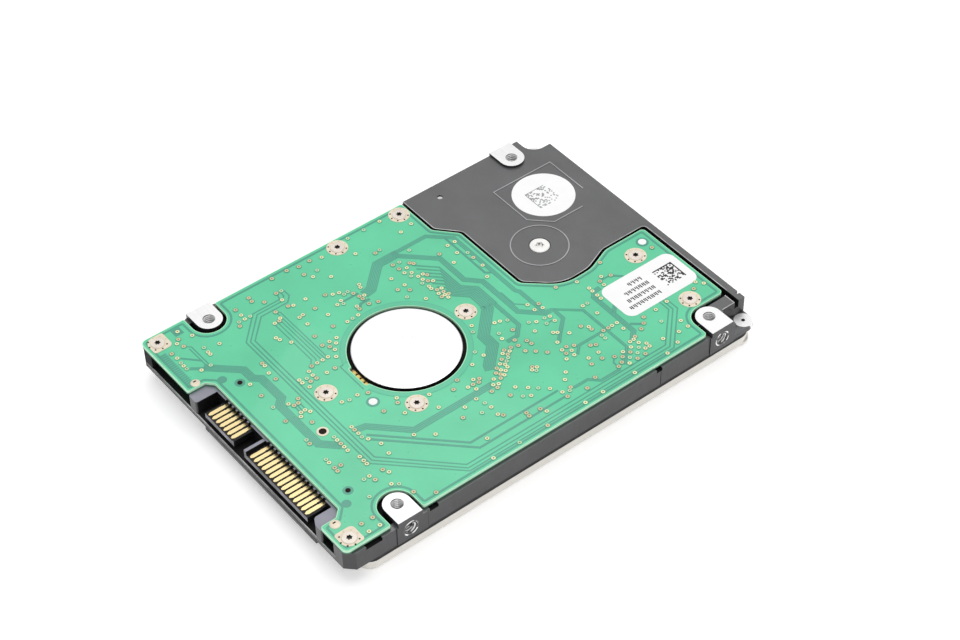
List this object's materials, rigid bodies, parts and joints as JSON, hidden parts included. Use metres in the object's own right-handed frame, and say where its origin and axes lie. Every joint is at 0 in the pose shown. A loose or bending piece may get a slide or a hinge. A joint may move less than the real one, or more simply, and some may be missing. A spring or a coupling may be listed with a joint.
{
  "type": "hard disk drive",
  "caption": "Small laptop hard disk drive with a circuit board on its casting, a data and power edge connector, and a sealed spindle and head actuator.",
  "frame": {"origin": "centre of the cover's outer face, the plane the drive rests on, in the middle of its width and length", "axes": "+X across the width, +Y along the length away from the connector end, +Z from the cover to the circuit board"},
  "size_m": [0.0698, 0.1002, 0.0095],
  "materials": {
    "casting": "dark grey electrocoat, satin",
    "cover_steel": "satin stainless sheet",
    "gasket": "matt",
    "label_paper": "coated paper",
    "screw_steel": "plated",
    "board_green": "solder mask",
    "black_film": "matt film",
    "chip_black": "moulded",
    "can_steel": "satin",
    "ferrite": "sintered",
    "capacitor_body": "fired",
    "connector_plastic": "moulded",
    "contact_gold": "gold plated",
    "motor_alloy": "machined",
    "bearing_brass": "turned",
    "core_steel": "laminated",
    "copper_wire": "enamelled",
    "hub_steel": "turned",
    "magnet_black": "sintered",
    "platter_mirror": "polished",
    "flex_film": "polyimide film",
    "arm_alloy": "machined",
    "holder_plastic": "moulded",
    "yoke_nickel": "nickel plated",
    "ramp_plastic": "moulded",
    "stop_rubber": "matt",
    "filter_cloth": "felt"
  },
  "bodies": {
    "enclosure": {"base_casting": "casting", "top_cover": "cover_steel", "cover_gasket": "gasket", "top_label": "label_paper", "cover_screws": "screw_steel", "circuit_board": "board_green", "board_screws": "screw_steel", "insulator_sheet": "black_film", "controller_chip": "chip_black", "memory_chip": "chip_black", "motor_driver_chip": "chip_black", "flash_chip": "chip_black", "crystal": "can_steel", "power_inductors": "ferrite", "shock_sensors": "chip_black", "capacitors": "capacitor_body", "board_label": "label_paper", "round_label": "label_paper", "sata_housing": "connector_plastic", "signal_contacts": "contact_gold", "power_contacts": "contact_gold", "motor_base": "motor_alloy", "bearing_sleeve": "bearing_brass", "bearing_cap": "motor_alloy", "stator_core": "core_steel", "stator_coils": "copper_wire", "motor_flex": "flex_film", "motor_contacts": "contact_gold", "pivot_shaft": "hub_steel", "pivot_screw": "screw_steel", "lower_yoke": "yoke_nickel", "upper_yoke": "yoke_nickel", "lower_magnet": "yoke_nickel", "upper_magnet": "yoke_nickel", "yoke_posts": "yoke_nickel", "load_ramp": "ramp_plastic", "ramp_screw": "screw_steel", "crash_stops": "stop_rubber", "latch_pin": "hub_steel", "recirculation_filter": "filter_cloth", "breather_filter": "filter_cloth", "head_connector": "holder_plastic", "flex_cable": "flex_film"},
    "spindle": {"rotor_hub": "hub_steel", "spindle_shaft": "hub_steel", "rotor_magnet": "magnet_black", "lower_platter": "platter_mirror", "upper_platter": "platter_mirror", "disk_spacer": "motor_alloy", "disk_clamp": "can_steel", "clamp_screw": "screw_steel"},
    "actuator": {"actuator_block": "arm_alloy", "pivot_sleeve": "hub_steel", "pivot_bearings": "hub_steel", "voice_coil": "copper_wire", "coil_holder": "holder_plastic", "suspensions": "can_steel", "sliders": "chip_black", "preamp_chip": "chip_black"},
    "latch": {"latch_lever": "holder_plastic"}
  },
  "joints": [
    {"name": "spindle_turn", "type": "hinge", "parent": "enclosure", "child": "spindle", "pos_m": [0, -0.0106, 0.003], "axis": [0, 0, 1], "continuous": true},
    {"name": "actuator_swing", "type": "hinge", "parent": "enclosure", "child": "actuator", "pos_m": [-0.0065, 0.0282, 0.0033], "axis": [0, 0, 1], "range_deg": [-33.6, 0]},
    {"name": "latch_swing", "type": "hinge", "parent": "enclosure", "child": "latch", "pos_m": [-0.031, 0.0215, 0.0031], "axis": [0, 0, 1], "range_deg": [-5, 5]}
  ]
}
